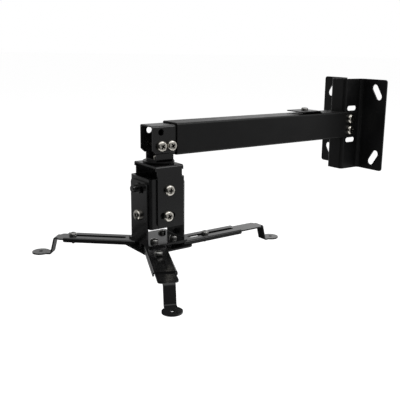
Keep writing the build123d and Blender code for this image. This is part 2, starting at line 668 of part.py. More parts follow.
def foot_strip(name):
    foot, back = ARMS[name][3:]
    tail = foot - back - STRIP_TAIL
    top = STRIP_TOP - STRIP_THICKNESS / 2
    bottom = top - FOOT_DROP
    bend_start = foot - FOOT_SETOUT
    line = [
        (tail, top),
        (bend_start, top),
        (bend_start + NECK_LEAN, bottom),
        (foot + FOOT_RADIUS, bottom),
    ]
    strip = sheet(SHEET_ACROSS_Y, line, STRIP_BEND - STRIP_THICKNESS / 2, STRIP_THICKNESS, ARM_WIDTH)
    strip &= extrude(strip_outline(foot, tail), CUT, both=True)
    strip -= Pos(foot, 0, bottom) * Cylinder(FOOT_HOLE_RADIUS, SHEET_CUT)
    strip -= Pos(foot - back, 0, top) * Cylinder(CLAMP_SCREW_RADIUS + THREAD_FIT, SHEET_CUT)
    return along_arm(name, strip)


def clamp_screw(name):
    foot, back = ARMS[name][3:]
    length = ARM_HEIGHT + CLAMP_SCREW_TAIL
    piece = bolt(CLAMP_SCREW_RADIUS, length, CLAMP_HEAD_RADIUS, CLAMP_HEAD_HEIGHT)
    return along_arm(name, Pos(foot - back, 0, ARM_TOP) * piece)


def build_nodes():
    nodes = {
        "wall_plate": wall_plate(),
        "outer_tube": outer_tube(),
        "ear_bolts": ear_bolts(),
        "ear_nuts": ear_nuts(),
        "tube_clip": tube_clip(),
        "clip_screw": clip_screw(),
        "lock_nuts": lock_nuts(),
        "lock_screws": lock_screws(),
        "inner_tube": inner_tube(),
        "knuckle_bracket": knuckle_bracket(),
        "knuckle_bolts": knuckle_bolts(),
        "knuckle_nuts": knuckle_nuts(),
        "swivel_disc": swivel_disc(),
        "swivel_washer": swivel_washer(),
        "swivel_bolt": swivel_bolt(),
        "swivel_nut": swivel_nut(),
        "yoke": yoke(),
        "tilt_box": tilt_box(),
        "pitch_pivot_bolts": pitch_pivot_bolts(),
        "pitch_clamp_bolts": pitch_clamp_bolts(),
        "pitch_nuts": pitch_nuts(),
        "lower_bracket": lower_bracket(),
        "roll_pivot_bolts": roll_pivot_bolts(),
        "roll_clamp_bolts": roll_clamp_bolts(),
        "roll_nuts": roll_nuts(),
        "arm_plate": arm_plate(),
        "arm_pivot_screws": arm_pivot_screws(),
        "arm_pivot_nuts": arm_pivot_nuts(),
        "hub_spacer": hub_spacer(),
        "hub_screw": hub_screw(1, 1),
        "hub_nut": hub_nut(1, 1),
    }
    for name in ARMS:
        nodes[f"arm_channel_{name}"] = arm_channel(name)
        nodes[f"foot_strip_{name}"] = foot_strip(name)
        nodes[f"clamp_screw_{name}"] = clamp_screw(name)
    return nodes


def main():
    os.makedirs("parts", exist_ok=True)
    for name, shape in build_nodes().items():
        if isinstance(shape, list):
            shape = Compound(children=shape)
        export_step(shape, f"parts/{name}.step")


main()
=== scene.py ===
import json
from math import cos, radians, sin, sqrt

import bmesh
import bpy
from mathutils import Matrix, Vector

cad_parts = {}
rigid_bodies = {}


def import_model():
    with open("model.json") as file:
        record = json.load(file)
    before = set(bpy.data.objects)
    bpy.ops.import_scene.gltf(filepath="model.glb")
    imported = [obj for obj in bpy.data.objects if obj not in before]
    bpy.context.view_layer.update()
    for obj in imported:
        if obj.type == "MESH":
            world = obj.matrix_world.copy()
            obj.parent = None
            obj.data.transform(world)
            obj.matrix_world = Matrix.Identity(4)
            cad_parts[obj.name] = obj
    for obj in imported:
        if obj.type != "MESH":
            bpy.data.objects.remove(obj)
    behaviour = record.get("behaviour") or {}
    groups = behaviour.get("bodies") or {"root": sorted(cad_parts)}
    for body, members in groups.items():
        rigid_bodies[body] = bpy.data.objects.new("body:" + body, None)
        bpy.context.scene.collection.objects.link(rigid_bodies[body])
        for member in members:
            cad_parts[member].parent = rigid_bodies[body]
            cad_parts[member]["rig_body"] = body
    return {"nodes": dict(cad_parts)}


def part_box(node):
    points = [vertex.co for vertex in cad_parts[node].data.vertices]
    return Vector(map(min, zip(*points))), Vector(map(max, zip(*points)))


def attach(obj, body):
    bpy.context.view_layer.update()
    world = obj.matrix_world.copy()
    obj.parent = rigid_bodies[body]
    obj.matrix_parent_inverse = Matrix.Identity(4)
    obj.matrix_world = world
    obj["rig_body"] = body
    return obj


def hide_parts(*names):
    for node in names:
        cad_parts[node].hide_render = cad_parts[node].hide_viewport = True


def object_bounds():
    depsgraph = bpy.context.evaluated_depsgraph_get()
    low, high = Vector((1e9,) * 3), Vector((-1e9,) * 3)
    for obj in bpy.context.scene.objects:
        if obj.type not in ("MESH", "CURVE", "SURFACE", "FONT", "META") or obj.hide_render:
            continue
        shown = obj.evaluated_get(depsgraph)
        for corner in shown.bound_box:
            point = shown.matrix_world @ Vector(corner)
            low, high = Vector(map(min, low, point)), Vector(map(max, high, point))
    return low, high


# Looks of a telescopic projector mount: coats for the folded sheet and tubes,
# cross-recessed screws with rolled threads, the stage and the camera.
# Lengths are in metres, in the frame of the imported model.

bl_info = {
    "name": "Projector Mount Looks",
    "version": (1, 0, 0),
    "blender": (4, 5, 0),
    "location": "3D View > Sidebar > Mount",
    "description": "Coats, screws, stage and camera for a telescopic projector mount",
    "category": "Object",
}

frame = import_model()
SOLID_BOX = [list(corner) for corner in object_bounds()]
NODES = frame["nodes"]
ARM_NAMES = ("front", "left", "right")
TOWER_X = sum(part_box("yoke")[end].x for end in (0, 1)) / 2
UP = Vector((0, 0, 1))

# Light of the surroundings on the mount, and how far the floor is lifted to white
SOFT_LIGHT = 0.45
FLOOR_LIFT = 0.62
FLOOR_SIZE = 60.0
FLOOR_GREY = (0.82, 0.82, 0.82, 1)

# What reflections see: the direction of the studio's bright side, and the tone at each place
# from 0, straight away from that side, to 1, straight towards it
BRIGHT_SIDE = (0.88, 0.32, 0.35)
STUDIO_TONES = (
    (0.17, 0.02),
    (0.32, 0.31),
    (0.604, 0.38),
    (0.69, 0.14),
    (0.78, 0.95),
    (0.90, 0.56),
    (0.945, 1.10),
)

# Where the floor's bright patch fades: by distance from the middle of the mount's reach, and
# along Y
FLOOR_GLOW_REACH = (0.35, 0.80)
FLOOR_GLOW_EDGE = (-0.02, 0.02)

# Offset of each lamp from the mount's middle, and its width
OVERHEAD_LAMP = ((-0.2, -0.5, 1.6), 2.2)
RIGHT_LAMP = ((0.66, -1.07, 0.98), 0.55)

SENSOR_WIDTH = 36.0
CAMERA_SHIFT = (-0.0813, -0.0323)
CLIP_START = 0.01

TEXTURED_NODES = ("wall_plate", "outer_tube", "tube_clip", "lock_nuts")
SATIN_NODES = ("inner_tube", "knuckle_bracket", "yoke", "tilt_box")
GLOSS_NODES = ("lower_bracket", "arm_plate")
DARK_NODES = (
    "swivel_disc",
    "swivel_washer",
    "hub_spacer",
    "arm_pivot_nuts",
    "hub_nut",
)
BRIGHT_NODES = ("ear_nuts", "knuckle_nuts", "swivel_nut", "pitch_nuts", "roll_nuts")
BLACK_BOLT_NODES = ("roll_clamp_bolts",)

# Specular level and bump depth of each coat
TEXTURED_COAT = (0.32, 0.00005)
SATIN_COAT = (0.58, 0.00002)
GLOSS_COAT = (0.50, 0.000008)

# Widths of the coat's patches of colour and sheen in grains, the span of its sheen as shares
# of its roughness, and the strength of its bumps
COLOUR_PATCH_GRAINS = 40
SHEEN_PATCH_GRAINS = 9
SHEEN_SPAN = (0.88, 1.14)
PEEL_STRENGTH = 0.35

# Roughness, metallic share and specular level of each plated finish
PLATED_FINISHES = {
    "nickel_plate": (0.12, 1.0, 0.5),
    "black_nickel": (0.13, 0.9, 0.5),
    "black_steel": (0.30, 0.30, 0.15),
    "black_bolt": (0.15, 0.1, 1.0),
    # The two recess finishes are darker copies that paint shade inside the cross recess
    "nickel_recess": (0.32, 1.0, 0.5),
    "black_recess": (0.32, 0.9, 0.5),
}

# Plating: noise scales of its patches and turning marks, the darker tone of the patches, the
# span of its roughness, the marks' depth and strength, and the darker tone inside a recess,
# which is painted shade
PATCH_SCALE = 420.0
MARK_SCALE = 2600.0
PATCH_TONE = 0.72
MARK_SPAN = (0.8, 1.3)
MARK_DEPTH = 0.00002
MARK_STRENGTH = 0.25
RECESS_SHADE_TONE = 0.30

# Values between which Blender's noise mostly stays, and its detail in patches, sheen and bumps
NOISE_SPAN = (0.3, 0.7)
PATCH_DETAIL = 4.0
SHEEN_DETAIL = 3.0
FINE_DETAIL = 2.0

# Distance within which corners count as one
MERGE_DISTANCE = 1e-6

# Share of a length beyond which edges count as its end, and the slope of faces that look down
END_SHARE = 0.99
FACING_DOWN = -0.9

# Head side of each screw: a fixed direction, or outwards from the tower along one axis
PAN_SCREWS = {
    "ear_bolts": ("m6", "bright", (0, -1, 0)),
    "knuckle_bolts": ("m6", "bright", (0, -1, 0)),
    "pitch_pivot_bolts": ("m6", "bright", "outward_y"),
    "pitch_clamp_bolts": ("m6", "bright", "outward_y"),
    "roll_pivot_bolts": ("m6", "bright", "outward_x"),
    "swivel_bolt": ("m6", "bright", (0, 0, 1)),
    "clip_screw": ("m4_tall", "dark", (0, 0, 1)),
    "arm_pivot_screws": ("m5", "dark", (0, 0, 1)),
    "hub_screw": ("m5", "dark", (0, 0, 1)),
}
for arm in ARM_NAMES:
    PAN_SCREWS[f"clamp_screw_{arm}"] = ("m4", "dark", (0, 0, 1))

# Shank radius, head height and thread pitch
SCREW_SIZES = {
    "m6": (0.003, 0.0042, 0.001),
    "m5": (0.0025, 0.0036, 0.0008),
    "m4_tall": (0.002, 0.0036, 0.0007),
    "m4": (0.002, 0.0034, 0.0007),
}

# Sides of a head, the rounding of its rim as a share of its height, and the rounding's segments
PAN_HEAD = (48, 0.62, 7)
HEXAGON_HEAD = (6, 0.12, 2)

# Thread: depth of its root and size of its ridge in pitches, steps in a turn and turns on a
# pan-head screw, with the tip's bevel and the thread's start as shares of the core
ROOT_DEPTH = 0.55
RIDGE_SIZE = 0.50
THREAD_STEPS = 20
THREAD_TURNS = 8
TIP_BEVEL = 0.22
THREAD_START = 0.2
SMOOTH_ANGLE = 32

# Recess: taper of its wings along and across, sides and radii of its core as shares of the
# head's radius, the core's rise as a share of the depth, and the level and reach within which
# faces count as recess and get the painted shade
WING_TAPER = (0.30, 0.55)
CORE_SIDES = 20
CORE_FOOT = 0.10
CORE_MOUTH = 0.30
CORE_RISE = 0.05
RECESS_LEVEL = 0.93
RECESS_REACH = 0.7

# Degrees by which the recesses are turned: the first, from node to node and within a node
FIRST_TURN = 23
NODE_TURN = 31
SCREW_TURN = 67


class CoatSettings(bpy.types.PropertyGroup):
    """Colour and surface of the black coats"""

    colour: bpy.props.FloatVectorProperty(
        name="Coat colour",
        description="Colour of the powder coat on sheet and tubes",
        subtype="COLOR",
        size=3,
        min=0.0,
        max=1.0,
        default=(0.0036, 0.0036, 0.0038),
    )
    dust: bpy.props.FloatVectorProperty(
        name="Coat highlight",
        description="Colour of the paler mottling in the coat",
        subtype="COLOR",
        size=3,
        min=0.0,
        max=1.0,
        default=(0.0074, 0.0074, 0.0077),
    )
    textured_roughness: bpy.props.FloatProperty(
        name="Textured roughness",
        description="Roughness of the wall plate and the outer tube",
        subtype="FACTOR",
        min=0.0,
        max=1.0,
        default=0.38,
    )
    satin_roughness: bpy.props.FloatProperty(
        name="Satin roughness",
        description="Roughness of the inner tube and the head",
        subtype="FACTOR",
        min=0.0,
        max=1.0,
        default=0.26,
    )
    gloss_roughness: bpy.props.FloatProperty(
        name="Gloss roughness",
        description="Roughness of the lower bracket and the arms",
        subtype="FACTOR",
        min=0.0,
        max=1.0,
        default=0.17,
    )
    grain_size: bpy.props.FloatProperty(
        name="Grain size",
        description="Width of one bump in the powder coat",
        unit="LENGTH",
        min=0.0002,
        default=0.0011,
    )


class ScrewSettings(bpy.types.PropertyGroup):
    """Colours and recess of the screws"""

    bright: bpy.props.FloatVectorProperty(
        name="Nickel",
        description="Colour of the plated bolts and nuts",
        subtype="COLOR",
        size=3,
        min=0.0,
        max=1.0,
        default=(0.76, 0.73, 0.66),
    )
    black: bpy.props.FloatVectorProperty(
        name="Black finish",
        description="Colour of the black nuts, rings and clamp bolts",
        subtype="COLOR",
        size=3,
        min=0.0,
        max=1.0,
        default=(0.006, 0.006, 0.0062),
    )
    dark: bpy.props.FloatVectorProperty(
        name="Black nickel",
        description="Colour of the screws on the hub and the arms",
        subtype="COLOR",
        size=3,
        min=0.0,
        max=1.0,
        default=(0.36, 0.355, 0.34),
    )
    recess_span: bpy.props.FloatProperty(
        name="Recess span",
        description="Width of the cross recess as a share of the head",
        subtype="FACTOR",
        min=0.2,
        max=0.8,
        default=0.72,
    )
    recess_depth: bpy.props.FloatProperty(
        name="Recess depth",
        description="Depth of the cross recess as a share of the head's height",
        subtype="FACTOR",
        min=0.2,
        max=0.9,
        default=0.74,
    )
    wing_width: bpy.props.FloatProperty(
        name="Wing width",
        description="Width of one wing of the recess as a share of the head",
        subtype="FACTOR",
        min=0.05,
        max=0.3,
        default=0.20,
    )


class StageSettings(bpy.types.PropertyGroup):
    """Camera, lamps and floor"""

    camera_place: bpy.props.FloatVectorProperty(
        name="Camera place",
        description="Where the camera stands",
        subtype="TRANSLATION",
        unit="LENGTH",
        size=3,
        default=(-0.6613, -0.5736, 0.0974),
    )
    yaw: bpy.props.FloatProperty(
        name="Yaw",
        description="Heading of the view from +X",
        unit="ROTATION",
        default=radians(51.90),
    )
    pitch: bpy.props.FloatProperty(
        name="Pitch",
        description="Rise of the view",
        unit="ROTATION",
        default=radians(-12.71),
    )
    roll: bpy.props.FloatProperty(
        name="Roll",
        description="Turn of the view about its axis",
        unit="ROTATION",
        default=radians(1.16),
    )
    lens: bpy.props.FloatProperty(
        name="Lens",
        description="Focal length on a 36 mm sensor",
        unit="CAMERA",
        min=10.0,
        default=55.40,
    )
    floor_drop: bpy.props.FloatProperty(
        name="Floor drop",
        description="Distance from the lowest foot to the floor",
        unit="LENGTH",
        min=0.0,
        default=0.16,
    )
    key_power: bpy.props.FloatProperty(
        name="Key lamp",
        description="Power of the large lamp overhead",
        unit="POWER",
        min=0.0,
        default=12.0,
    )
    fill_power: bpy.props.FloatProperty(
        name="Fill lamp",
        description="Power of the lamp on the right",
        unit="POWER",
        min=0.0,
        default=3.0,
    )


def leave_edit_mode():
    if bpy.context.object and bpy.context.object.mode != "OBJECT":
        bpy.ops.object.mode_set(mode="OBJECT")


def deselect_all():
    leave_edit_mode()
    bpy.ops.object.select_all(action="DESELECT")


def make_active(*pieces):
    """Select only these pieces and make the first of them active."""
    deselect_all()
    for piece in pieces:
        piece.select_set(True)
    bpy.context.view_layer.objects.active = pieces[0]


def added(name):
    """Name the primitive that was just added and put its place into its mesh."""
    piece = bpy.context.object
    piece.name = name
    make_active(piece)
    bpy.ops.object.transform_apply(location=True, rotation=True, scale=True)
    return piece


def pick(piece, kind, test):
    """In edit mode, select the edges or faces of a piece that pass a test."""
    bpy.ops.mesh.select_mode(type="EDGE" if kind == "edges" else "FACE")
    bpy.ops.mesh.select_all(action="DESELECT")
    mesh = bmesh.from_edit_mesh(piece.data)
    for part in getattr(mesh, kind):
        if test(part):
            part.select_set(True)
    bmesh.update_edit_mesh(piece.data)


def cut_with(piece, cutter):
    """Take a cutter's shape out of a piece and delete the cutter."""
    make_active(piece)
    cut = piece.modifiers.new("cut", "BOOLEAN")
    cut.operation = "DIFFERENCE"
    cut.solver = "EXACT"
    cut.object = cutter
    bpy.ops.object.modifier_apply(modifier=cut.name)
    bpy.data.objects.remove(cutter, do_unlink=True)


def joined(*pieces):
    """Join pieces into the first of them, and shade it smooth."""
    make_active(*pieces)
    bpy.ops.object.join()
    bpy.ops.object.shade_smooth_by_angle(angle=radians(SMOOTH_ANGLE))
    return pieces[0]


def centre_of(box):
    return (box[0] + box[1]) / 2


def main_axis(side):
    """Index of the axis along which a direction mostly runs."""
    return max(range(3), key=lambda k: abs(side[k]))


def solid_boxes(node):
    """Lowest and highest corner of each solid in a node, in order of place."""
    mesh = bmesh.new()
    mesh.from_mesh(NODES[node].data)
    bmesh.ops.remove_doubles(mesh, verts=mesh.verts, dist=MERGE_DISTANCE)
    left = set(mesh.verts)
    boxes = []
    while left:
        island = {left.pop()}
        edge_of_island = set(island)
        while edge_of_island:
            near = {e.other_vert(v) for v in edge_of_island for e in v.link_edges}
            edge_of_island = near & left
            left -= edge_of_island
            island |= edge_of_island
        low = Vector([min(v.co[k] for v in island) for k in range(3)])
        high = Vector([max(v.co[k] for v in island) for k in range(3)])
        boxes.append((low, high))
    mesh.free()
    return sorted(boxes, key=lambda box: tuple(round(c, 5) for c in box[0]))


def noise(tree, place, scale, detail):
    """Noise on the piece's own coordinates."""
    texture = tree.nodes.new("ShaderNodeTexNoise")
    texture.inputs["Scale"].default_value = scale
    texture.inputs["Detail"].default_value = detail
    tree.links.new(place, texture.inputs["Vector"])
    return texture.outputs[0]


def spread(tree, value, low, high):
    """Map noise to a range."""
    scaled = tree.nodes.new("ShaderNodeMapRange")
    scaled.inputs["From Min"].default_value = NOISE_SPAN[0]
    scaled.inputs["From Max"].default_value = NOISE_SPAN[1]
    scaled.inputs["To Min"].default_value = low
    scaled.inputs["To Max"].default_value = high
    tree.links.new(value, scaled.inputs["Value"])
    return scaled.outputs["Result"]


def blend_colours(tree, amount, first, second):
    mix = tree.nodes.new("ShaderNodeMix")
    mix.data_type = "RGBA"
    colours = [socket for socket in mix.inputs if socket.type == "RGBA"]
    colours[0].default_value = (*first, 1)
    colours[1].default_value = (*second, 1)
    tree.links.new(amount, mix.inputs["Factor"])
    return next(socket for socket in mix.outputs if socket.type == "RGBA")


def bumped(tree, shader, height, depth, strength):
    bump = tree.nodes.new("ShaderNodeBump")
    bump.inputs["Strength"].default_value = strength
    bump.inputs["Distance"].default_value = depth
    tree.links.new(height, bump.inputs["Height"])
    tree.links.new(bump.outputs["Normal"], shader.inputs["Normal"])


def new_material(name):
    """Material with a Principled shader, and the piece's own coordinates."""
    material = bpy.data.materials.new(name)
    material.use_nodes = True
    tree = material.node_tree
    shader = next(node for node in tree.nodes if node.type == "BSDF_PRINCIPLED")
    place = tree.nodes.new("ShaderNodeTexCoord").outputs["Object"]
    return material, tree, shader, place


def coat_material(name, roughness, specular, depth):
    """Black powder coat: fine orange peel, mottled colour and uneven sheen."""
    settings = bpy.context.scene.mount_coat
    material, tree, shader, place = new_material(name)
    grain = settings.grain_size
    patches = noise(tree, place, 1 / (COLOUR_PATCH_GRAINS * grain), PATCH_DETAIL)
    colour = blend_colours(tree, spread(tree, patches, 0.0, 1.0), settings.colour, settings.dust)
    tree.links.new(colour, shader.inputs["Base Color"])
    sheen = noise(tree, place, 1 / (SHEEN_PATCH_GRAINS * grain), SHEEN_DETAIL)
    rough = spread(tree, sheen, roughness * SHEEN_SPAN[0], roughness * SHEEN_SPAN[1])
    tree.links.new(rough, shader.inputs["Roughness"])
    peel = noise(tree, place, 1 / grain, FINE_DETAIL)
    bumped(tree, shader, peel, depth, PEEL_STRENGTH)
    shader.inputs["Specular IOR Level"].default_value = specular
    return material


def plated_material(name, colour, roughness, metallic, specular):
    """Plated or blackened steel with fine turning marks and uneven tone."""
    material, tree, shader, place = new_material(name)
    patches = noise(tree, place, PATCH_SCALE, PATCH_DETAIL)
    darker = [part * PATCH_TONE for part in colour]
    shade = blend_colours(tree, spread(tree, patches, 0.0, 1.0), darker, colour)
    tree.links.new(shade, shader.inputs["Base Color"])
    marks = noise(tree, place, MARK_SCALE, FINE_DETAIL)
    rough = spread(tree, marks, roughness * MARK_SPAN[0], roughness * MARK_SPAN[1])
    tree.links.new(rough, shader.inputs["Roughness"])
    bumped(tree, shader, marks, MARK_DEPTH, MARK_STRENGTH)
    shader.inputs["Metallic"].default_value = metallic
    shader.inputs["Specular IOR Level"].default_value = specular
    return material


def coat_nodes(nodes, material):
    for name in nodes:
        for slot in NODES[name].material_slots:
            slot.material = material


def fill_end_caps(piece):
    bpy.ops.object.mode_set(mode="EDIT")
    bpy.ops.mesh.select_all(action="SELECT")
    bpy.ops.mesh.fill_holes(sides=3)
    bpy.ops.mesh.select_all(action="SELECT")
    bpy.ops.mesh.normals_make_consistent(inside=False)
    leave_edit_mode()


def thread_ridge(radius, pitch, low, high):
    """Closed helical ridge whose crest is at the radius."""
    size = pitch * RIDGE_SIZE
    deselect_all()
    bpy.ops.mesh.primitive_circle_add(
        vertices=3,
        radius=size,
        location=(radius - size, 0, low + size),
        rotation=(radians(90), radians(90), 0),
    )
    ridge = added("thread")
    turns = max(1, int((high - low - 2 * size) / pitch))
    sweep = ridge.modifiers.new("sweep", "SCREW")
    sweep.axis = "Z"
    sweep.screw_offset = pitch
    sweep.iterations = turns
    sweep.steps = THREAD_STEPS
    sweep.render_steps = THREAD_STEPS
    make_active(ridge)
    bpy.ops.object.modifier_apply(modifier=sweep.name)
    fill_end_caps(ridge)
    return ridge


def cross_wing(head_radius, top, across):
    """Tapered cutter for one pair of wings of the recess."""
    settings = bpy.context.scene.mount_screws
    depth = top * settings.recess_depth
    span = 2 * head_radius * settings.recess_span
    width = 2 * head_radius * settings.wing_width
    deselect_all()
    bpy.ops.mesh.primitive_cube_add(size=1, location=(0, 0, top))
    wing = bpy.context.object
    wing.scale = (width, span, 2 * depth) if across else (span, width, 2 * depth)
    wing = added("wing")
    bpy.ops.object.mode_set(mode="EDIT")
    pick(wing, "faces", lambda face: face.normal.z < FACING_DOWN)
    along, beside = WING_TAPER
    taper = (beside, along, 1) if across else (along, beside, 1)
    bpy.ops.transform.resize(value=taper)
    leave_edit_mode()
    return wing


def cut_cross_recess(piece, head_radius, top):
    """Cut two crossing wings and a tapered core into the top of a head."""
    for across in (False, True):
        cut_with(piece, cross_wing(head_radius, top, across))
    deselect_all()
    depth = top * bpy.context.scene.mount_screws.recess_depth
    bpy.ops.mesh.primitive_cone_add(
        vertices=CORE_SIDES,
        radius1=head_radius * CORE_FOOT,
        radius2=head_radius * CORE_MOUTH,
        depth=2 * depth,
        location=(0, 0, top + depth * CORE_RISE),
    )
    cut_with(piece, added("recess_core"))


def head_with_shank(head_radius, head_height, core, length, form):
    """Head above zero with its rim rounded, and a shank drawn out below it."""
    sides, round_share, segments = form
    deselect_all()
    bpy.ops.mesh.primitive_cylinder_add(
        vertices=sides,
        radius=head_radius,
        depth=head_height,
        location=(0, 0, head_height / 2),
    )
    piece = added("screw")
    bpy.ops.object.mode_set(mode="EDIT")
    rim = head_height * END_SHARE
    pick(piece, "edges", lambda edge: all(v.co.z > rim for v in edge.verts))
    bpy.ops.mesh.bevel(
        offset=head_height * round_share, segments=segments, profile=0.5, affect="EDGES"
    )
    pick(piece, "faces", lambda face: face.normal.z < FACING_DOWN)
    bpy.ops.mesh.inset(thickness=(head_radius - core) * cos(radians(180 / sides)))
    bpy.ops.mesh.extrude_region_move(TRANSFORM_OT_translate={"value": (0, 0, -length)})
    tip = -length * END_SHARE
    pick(piece, "edges", lambda edge: all(v.co.z < tip for v in edge.verts))
    bpy.ops.mesh.bevel(offset=core * TIP_BEVEL, segments=1, affect="EDGES")
    leave_edit_mode()
    return piece


def paint_recess_shade(piece, head_radius, top):
    """Give the second slot, the darker finish that paints shade in the recess, to the faces that
    lie below the crown of the head.
    """
    for face in piece.data.polygons:
        level, reach = face.center.z, face.center.xy.length
        if 0 < level < top * RECESS_LEVEL and reach < head_radius * RECESS_REACH:
            face.material_index = 1


def pan_screw(size, head_radius, length, materials):
    """Cross-recessed pan-head screw on the Z axis, its seat at zero."""
    shank, head_height, pitch = SCREW_SIZES[size]
    core = shank - ROOT_DEPTH * pitch
    piece = head_with_shank(head_radius, head_height, core, length, PAN_HEAD)
    cut_cross_recess(piece, head_radius, head_height)
    # The second material is darker and paints shade in the cross recess
    for material in materials:
        piece.data.materials.append(material)
    paint_recess_shade(piece, head_radius, head_height)
    thread_end = -length + min(length, THREAD_TURNS * pitch)
    ridge = thread_ridge(shank, pitch, -length + core * THREAD_START, thread_end)
    return joined(piece, ridge)


def lock_screw(head_radius, head_height, shank, length, pitch):
    """Hexagon-head screw with a full thread, its seat at zero."""
    core = shank - ROOT_DEPTH * pitch
    piece = head_with_shank(head_radius, head_height, core, length, HEXAGON_HEAD)
    return joined(piece, thread_ridge(shank, pitch, -length + core * THREAD_START, -pitch))


def head_side(direction, box):
    """Direction that a screw's head faces, for the solid in this box."""
    centre = centre_of(box)
    if direction == "outward_y":
        return Vector((0, 1 if centre.y > 0 else -1, 0))
    if direction == "outward_x":
        return Vector((1 if centre.x > TOWER_X else -1, 0, 0))
    return Vector(direction)


def seat_point(box, side, head_height):
    """Point under a screw's head on its axis."""
    centre = centre_of(box)
    axis = main_axis(side)
    end = box[1][axis] if side[axis] > 0 else box[0][axis]
    centre[axis] = end - side[axis] * head_height
    return centre


def place_copy(master, seat, side, turn):
    """Copy of a screw with its own mesh, put at its seat and turned about its axis."""
    piece = master.copy()
    piece.data = master.data.copy()
    bpy.context.collection.objects.link(piece)
    aim = UP.rotation_difference(side).to_matrix().to_4x4()
    piece.matrix_world = Matrix.Translation(seat) @ aim @ Matrix.Rotation(turn, 4, "Z")
    make_active(piece)
    bpy.ops.object.transform_apply(location=True, rotation=True, scale=True)
    return piece


def stand_for(piece, node):
    """Let a piece ride on a node's body in place of that node."""
    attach(piece, NODES[node]["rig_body"])
    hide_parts(node)


def finish_group(copies, name, node):
    """Join a node's screws into one piece that rides in the node's place."""
    make_active(*copies)
    if len(copies) > 1:
        bpy.ops.object.join()
    piece = copies[0]
    piece.name = name
    stand_for(piece, node)


def make_screws(node, materials, first_turn):
    """Model one screw of a node, and put a copy of it at each of the node's solids."""
    size, finish, direction = PAN_SCREWS[node]
    head_height = SCREW_SIZES[size][1]
    copies = []
    master = None
    for index, box in enumerate(solid_boxes(node)):
        side = head_side(direction, box)
        axis = main_axis(side)
        extent = box[1] - box[0]
        if master is None:
            head_radius = extent[(axis + 1) % 3] / 2
            master = pan_screw(size, head_radius, extent[axis] - head_height, materials[finish])
        turn = radians(first_turn + SCREW_TURN * index)
        copies.append(place_copy(master, seat_point(box, side, head_height), side, turn))
    bpy.data.objects.remove(master, do_unlink=True)
    finish_group(copies, f"{node}_threaded", node)


class MOUNT_OT_coat_sheet_metal(bpy.types.Operator):
    """Give the folded sheet and the tubes their black coats"""

    bl_idname = "mount.coat_sheet_metal"
    bl_label = "Coat Sheet Metal"

    def execute(self, context):
        settings = context.scene.mount_coat
        textured = coat_material("textured_coat", settings.textured_roughness, *TEXTURED_COAT)
        satin = coat_material("satin_coat", settings.satin_roughness, *SATIN_COAT)
        gloss = coat_material("gloss_coat", settings.gloss_roughness, *GLOSS_COAT)
        coat_nodes(TEXTURED_NODES, textured)
        coat_nodes(SATIN_NODES, satin)
        coat_nodes(GLOSS_NODES, gloss)
        for arm in ARM_NAMES:
            coat_nodes((f"arm_channel_{arm}", f"foot_strip_{arm}"), gloss)
        return {"FINISHED"}


class MOUNT_OT_finish_hardware(bpy.types.Operator):
    """Give nuts, rings and clamp bolts their plated finishes"""

    bl_idname = "mount.finish_hardware"
    bl_label = "Finish Nuts and Rings"

    def execute(self, context):
        settings = context.scene.mount_screws
        colours = {
            "nickel_plate": settings.bright,
            "black_nickel": settings.dark,
            "black_steel": settings.black,
            "black_bolt": settings.black,
            # Darker copies of the plating paint shade inside the cross recess
            "nickel_recess": [part * RECESS_SHADE_TONE for part in settings.bright],
            "black_recess": [part * RECESS_SHADE_TONE for part in settings.dark],
        }
        finishes = {
            name: plated_material(name, colour, *PLATED_FINISHES[name])
            for name, colour in colours.items()
        }
        coat_nodes(BRIGHT_NODES, finishes["nickel_plate"])
        coat_nodes(DARK_NODES, finishes["black_steel"])
        coat_nodes(BLACK_BOLT_NODES, finishes["black_bolt"])
        return {"FINISHED"}


class MOUNT_OT_make_pan_screws(bpy.types.Operator):
    """Model the cross-recessed screws and bolts with their threads"""

    bl_idname = "mount.make_pan_screws"
    bl_label = "Make Pan-Head Screws"

    def execute(self, context):
        materials = {
            # The second finish of each pair paints shade in the recess
            "bright": [bpy.data.materials[name] for name in ("nickel_plate", "nickel_recess")],
            "dark": [bpy.data.materials[name] for name in ("black_nickel", "black_recess")],
        }
        for index, node in enumerate(PAN_SCREWS):
            make_screws(node, materials, FIRST_TURN + NODE_TURN * index)
        return {"FINISHED"}


class MOUNT_OT_make_lock_screws(bpy.types.Operator):
    """Model the hexagon-head locking screws on the tube's far side"""

    bl_idname = "mount.make_lock_screws"
    bl_label = "Make Locking Screws"

    def execute(self, context):
        outward = Vector((0, 1, 0))
        shank, head_height, pitch = SCREW_SIZES["m6"]
        copies = []
        master = None
        for box in solid_boxes("lock_screws"):
            extent = box[1] - box[0]
            if master is None:
                corner_radius = min(extent.x, extent.z) / sqrt(3)
                length = extent.y - head_height
                master = lock_screw(corner_radius, head_height, shank, length, pitch)
                master.data.materials.append(bpy.data.materials["black_nickel"])
            turn = radians(90 if extent.x > extent.z else 0)
            copies.append(place_copy(master, seat_point(box, outward, head_height), outward, turn))
        bpy.data.objects.remove(master, do_unlink=True)
        finish_group(copies, "lock_screws_threaded", "lock_screws")
        return {"FINISHED"}


def combined(tree, operation, first, second):
    """Socket of a Math node on two values, each a socket or a number."""
    node = tree.nodes.new("ShaderNodeMath")
    node.operation = operation
    for socket, value in zip(node.inputs, (first, second)):
        if isinstance(value, (int, float)):
            socket.default_value = value
        else:
            tree.links.new(value, socket)
    return node.outputs[0]


